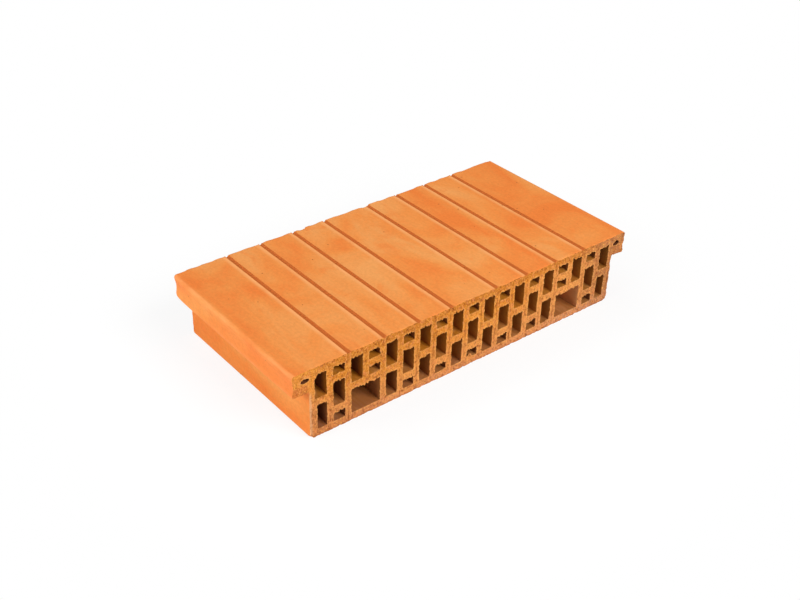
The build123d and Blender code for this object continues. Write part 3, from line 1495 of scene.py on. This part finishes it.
def front_end(section: Section) -> CutEnd:
    """Describes the cut end that the photograph shows.

    Args:
        section: The block's section.

    Returns:
        The end with its smears and torn patches.
    """
    # A place across the section is a column's number, counted from the middle, and a distance from it
    p = section.pitch
    smears = [
        Smear(-3.5, 9.0, 3.4, 0.5, 6.2, 5.0),
        Smear(7 * p - 7.2, 83.5, 3.0, -0.6, 4.2, 6.0),
        Smear(-9 * p - 7.0, 83.0, 3.2, 2.6, -2.2, 3.0),
        Smear(-6 * p + 4.5, 62.0, 2.6, 0.0, -2.2, 2.0),
        Smear(-6 * p + 6.5, 82.0, 2.4, -1.4, -1.8, 3.0),
        Smear(9 * p - 2.0, 20.0, 5.0, -2.8, 0.5, 12.0),
        Smear(3 * p + 7.0, 10.0, 3.0, -0.4, 2.0, 5.0),
        Smear(5 * p + 5.0, 11.0, 3.2, -1.6, 1.6, 7.0),
        Smear(-2 * p + 6.0, 9.5, 3.0, 0.0, 1.8, 5.0),
        Smear(6 * p - 7.5, 62.0, 2.0, -1.4, 0.8, 3.0),
        Smear(3 * p + 5.5, 42.0, 2.2, 0.4, 1.4, 3.0),
        Smear(-8 * p + 1.0, 72.0, 2.0, 0.0, 1.2, 3.0),
        Smear(section.nib_half - 15.0, 84.5, 4.0, 0.4, 1.7, 7.0),
        Smear(-6.5 * p - 2.0, 42.0, 2.6, 0.0, -1.5, 3.0),
        Smear(-6.5 * p + 12.0, 42.0, 3.0, 0.0, -1.3, 3.0),
    ]
    scars = [
        Scar(-section.nib_half + 9, 69.0, 11.0, 5.0, 0.7),
        Scar(-section.body_half + 3, 8.0, 4.0, 9.0, 0.5),
        Scar(section.body_half + 6, 66.0, 8.0, 3.0, 0.6),
    ]
    return CutEnd(End.FRONT, section, smears, scars)


def back_end(section: Section) -> CutEnd:
    """Describes the cut end that the photograph doesn't show, torn in the same way.

    Args:
        section: The block's section.

    Returns:
        The end with its smears and torn patches.
    """
    rng = np.random.default_rng(12)
    smears = []
    for _ in range(11):
        column = int(rng.integers(-9, 10))
        height = float(rng.choice([10.0, 41.0, 62.0, 83.0]))
        lift = float(rng.uniform(0.8, 2.6)) * (1 if height < 20 else -1)
        x = column * section.pitch + float(rng.uniform(-7, 7))
        smears.append(Smear(x, height, 2.6, float(rng.uniform(-0.8, 0.8)), lift, 4.0))
    smears.append(Smear(-section.nib_half, 74.0, 32.0, 2.8, 0.0, 9.0))
    scars = [Scar(section.nib_half - 10, 69.0, 9.0, 4.0, 1.2), Scar(-120.0, 4.0, 16.0, 3.0, 0.9)]
    return CutEnd(End.BACK, section, smears, scars)


def block_chips(section: Section) -> list[Chip]:
    """Lists the bites out of the block's edges.

    Args:
        section: The block's section.

    Returns:
        The chips.
    """
    half, top, body, nib = section.length / 2, section.height, section.body_half, section.nib_half
    under, grooves = section.underside, section.grooves()

    # Front left foot, back top edge, then the front edge of the right side
    chips = [
        Chip(-body - 1.5, -half - 1.0, -1.5, 6.5),
        Chip(grooves[0] - 6.0, half + 2.0, top + 1.5, 6.0),
        Chip(-grooves[1] + 13.0, half + 4.0, top + 3.0, 8.0),
        Chip(body + 2.5, -half + 1.0, under - 1.0, 3.2),
        Chip(body + 1.8, -half, 13.5, 2.6),
        Chip(nib + 1.0, -half - 0.5, under + 1.0, 2.4),
    ]
    chips += [Chip(body + 3.0 + d, -half - 0.5, z, 3.6) for d, z in ((0.3, 24.0), (-0.2, 36.5), (0.4, 47.0))]
    chips += [Chip(nib + 1.6, -half - 0.4, 74.0, 2.8), Chip(body + 9.0, -half, 62.2, 2.6)]

    # Along the top edge, at some grooves in front and at every groove behind
    chips += [Chip(x + 0.4, -half - 1.2, top + 0.9, 3.2) for x in (-grooves[0], grooves[2], -grooves[2])]
    chips += [Chip(side * x, half + 1.0, top + 0.6, 3.0) for side in (-1, 1) for x in grooves]

    # Back corner of the left nib
    chips += [Chip(-nib + 1.0, half + 1.5, under - 2.0, 5.5), Chip(-nib + 0.5, half + 1.5, top + 1.5, 4.0)]
    return chips


def main() -> None:
    """Builds and dresses the block, then the studio round it."""
    logging.basicConfig(level=logging.INFO, format="%(name)s %(message)s")
    section = Section()
    ends = {End.FRONT: front_end(section), End.BACK: back_end(section)}
    block = FiredBlock(section, ends, block_chips(section)).build()
    for finish in (DrawnSkin(), CutClay(), CellBore()):
        block.data.materials.append(finish.material())
    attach(block, "root")
    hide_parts(NODE)
    Studio().build()


if __name__ == "__main__":
    main()
